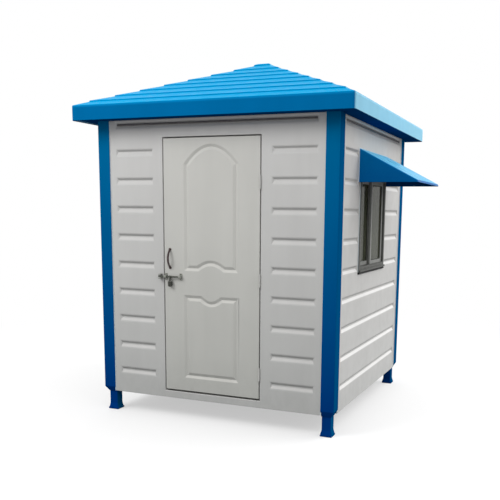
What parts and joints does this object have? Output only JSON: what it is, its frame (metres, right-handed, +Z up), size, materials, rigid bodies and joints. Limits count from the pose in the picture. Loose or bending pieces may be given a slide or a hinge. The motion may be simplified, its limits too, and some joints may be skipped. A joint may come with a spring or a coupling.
{
  "type": "security guard booth",
  "caption": "Free-standing guard booth on short legs with grooved white walls, a panelled hinged door with slide bolt, a sliding window under a blue awning and a lapped hip roof.",
  "frame": {"origin": "ground level, at the middle of the overall box in plan", "axes": "+Z up, the door faces -Y, the window and awning face +X"},
  "size_m": [2.364, 2.088, 2.6368],
  "materials": {
    "wall_white": "white moulded fibreglass, satin",
    "post_blue": "dark blue moulded fibreglass",
    "roof_blue": "bright blue moulded fibreglass",
    "floor_board": "grey moulded floor board",
    "window_aluminium": "dark anodised aluminium section",
    "window_glass": "dark tinted glass",
    "steel": "plated steel",
    "dark_metal": "dark brown painted metal"
  },
  "bodies": {
    "booth": {"floor_panel": "floor_board", "leg_front_left": "post_blue", "leg_front_right": "post_blue", "leg_back_left": "post_blue", "leg_back_right": "post_blue", "post_front_left": "post_blue", "post_front_right": "post_blue", "post_back_left": "post_blue", "post_back_right": "post_blue", "front_wall_left": "wall_white", "front_wall_right": "wall_white", "front_wall_head": "wall_white", "door_sill": "wall_white", "left_wall": "wall_white", "right_wall": "wall_white", "back_wall": "wall_white", "door_stop_jambs": "wall_white", "door_stop_head": "wall_white", "door_hinge_fixed": "steel", "bolt_keeper": "steel", "window_frame": "window_aluminium", "window_sash_front": "window_aluminium", "window_sash_rear": "window_aluminium", "window_glass_front": "window_glass", "window_glass_rear": "window_glass", "awning": "roof_blue", "eave_front": "roof_blue", "eave_right": "roof_blue", "eave_back": "roof_blue", "eave_left": "roof_blue", "roof_front": "roof_blue", "roof_right": "roof_blue", "roof_back": "roof_blue", "roof_left": "roof_blue", "roof_cap": "roof_blue"},
    "door": {"door_leaf": "wall_white", "door_hinge_moving": "steel", "pull_handle": "dark_metal", "bolt_guides": "steel"},
    "bolt": {"slide_bolt": "steel", "padlock_body": "dark_metal", "padlock_shackle": "steel"}
  },
  "joints": [
    {"name": "door_hinge", "type": "hinge", "parent": "booth", "child": "door", "pos_m": [0.2275, -0.913, 1.04], "axis": [0, 0, 1], "range_deg": [0, 150]},
    {"name": "bolt_slide", "type": "slide", "parent": "door", "child": "bolt", "axis": [1, 0, 0], "range_m": [0, 0.048]}
  ]
}
